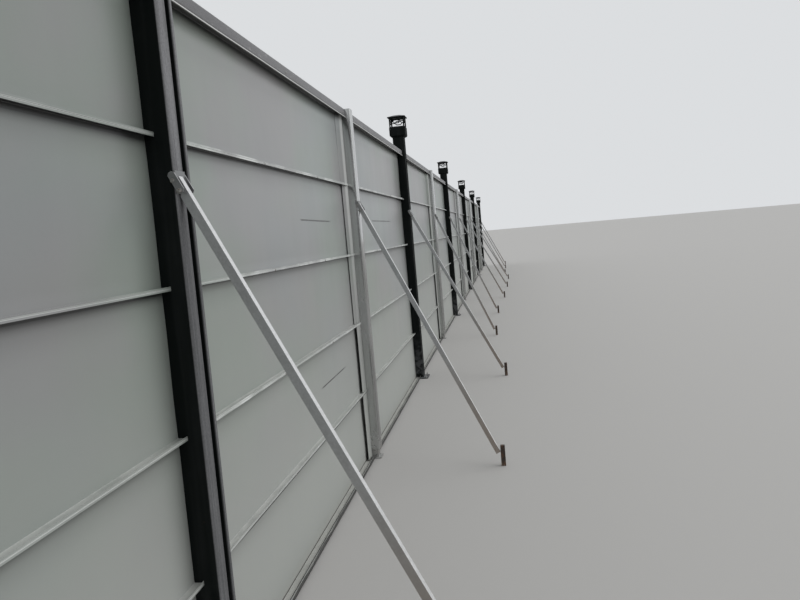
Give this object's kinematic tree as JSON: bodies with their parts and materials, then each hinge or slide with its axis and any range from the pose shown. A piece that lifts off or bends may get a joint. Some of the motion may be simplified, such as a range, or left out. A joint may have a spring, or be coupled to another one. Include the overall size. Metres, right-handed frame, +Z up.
{
  "type": "windbreak fence",
  "caption": "Long site windbreak fence of folded steel pan boards between box posts with pierced lantern caps, braced on one side to ground stakes.",
  "frame": {"origin": "middle of the underside of the base plate of the middle main post, at ground level", "axes": "+X along the fence, -Y towards the braced side, +Z up"},
  "size_m": [36.22, 1.151, 2.882],
  "materials": {
    "black_paint": "gloss",
    "grey_paint": "satin",
    "rail_paint": "matte",
    "galvanised_steel": "satin",
    "stake_steel": "matte"
  },
  "bodies": {
    "root": {"base_plates": "grey_paint", "bottom_channels": "grey_paint", "brace_brackets": "galvanised_steel", "braces": "galvanised_steel", "ground_stakes": "stake_steel", "intermediate_feet": "galvanised_steel", "intermediate_post_1": "galvanised_steel", "intermediate_post_2": "galvanised_steel", "intermediate_post_3": "galvanised_steel", "intermediate_post_4": "galvanised_steel", "intermediate_post_5": "galvanised_steel", "intermediate_post_6": "galvanised_steel", "main_post_1": "black_paint", "main_post_2": "black_paint", "main_post_3": "black_paint", "main_post_4": "black_paint", "main_post_5": "black_paint", "main_post_6": "black_paint", "main_post_7": "black_paint", "post_cap_1": "black_paint", "post_cap_2": "black_paint", "post_cap_3": "black_paint", "post_cap_4": "black_paint", "post_cap_5": "black_paint", "post_cap_6": "black_paint", "post_cap_7": "black_paint", "top_rail_1": "rail_paint", "top_rail_2": "rail_paint", "top_rail_3": "rail_paint", "top_rail_4": "rail_paint", "top_rail_5": "rail_paint", "top_rail_6": "rail_paint", "wall_panel_1a": "grey_paint", "wall_panel_1b": "grey_paint", "wall_panel_2a": "grey_paint", "wall_panel_2b": "grey_paint", "wall_panel_3a": "grey_paint", "wall_panel_3b": "grey_paint", "wall_panel_4a": "grey_paint", "wall_panel_4b": "grey_paint", "wall_panel_5a": "grey_paint", "wall_panel_5b": "grey_paint", "wall_panel_6a": "grey_paint", "wall_panel_6b": "grey_paint"}
  },
  "joints": []
}
